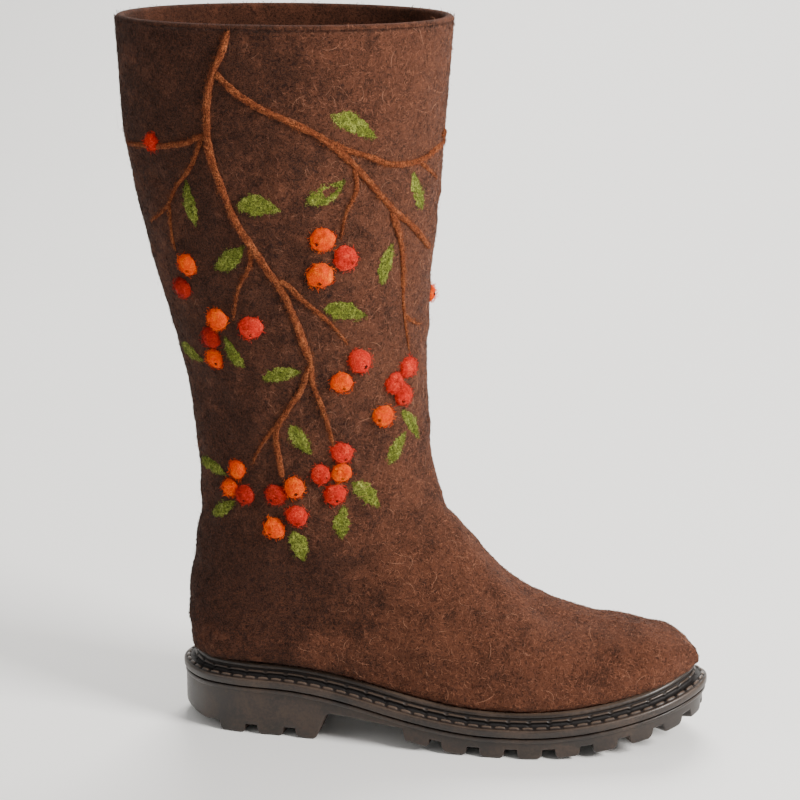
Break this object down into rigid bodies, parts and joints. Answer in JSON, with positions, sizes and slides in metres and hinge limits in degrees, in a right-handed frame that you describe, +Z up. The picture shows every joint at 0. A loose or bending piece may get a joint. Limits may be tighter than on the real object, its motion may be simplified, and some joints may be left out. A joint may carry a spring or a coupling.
{
  "type": "valenki felt boot",
  "caption": "Tall pull-on winter boot of thick brown wool felt with a rowan sprig, on a moulded black rubber sole with welt, heel and lugs; right foot.",
  "frame": {"origin": "on the floor, in the middle of the heel's tread", "axes": "+X towards the toe, +Y towards the inner side of the foot, +Z up"},
  "size_m": [0.309, 0.132, 0.375],
  "materials": {
    "felt": "napped wool felt, matte chocolate brown",
    "inner_felt": "smooth wool felt, matte brown",
    "rubber": "semi-gloss black moulded rubber"
  },
  "bodies": {
    "root": {"outsole": "rubber", "welt": "rubber", "upper": "felt", "insole": "inner_felt"}
  },
  "joints": []
}
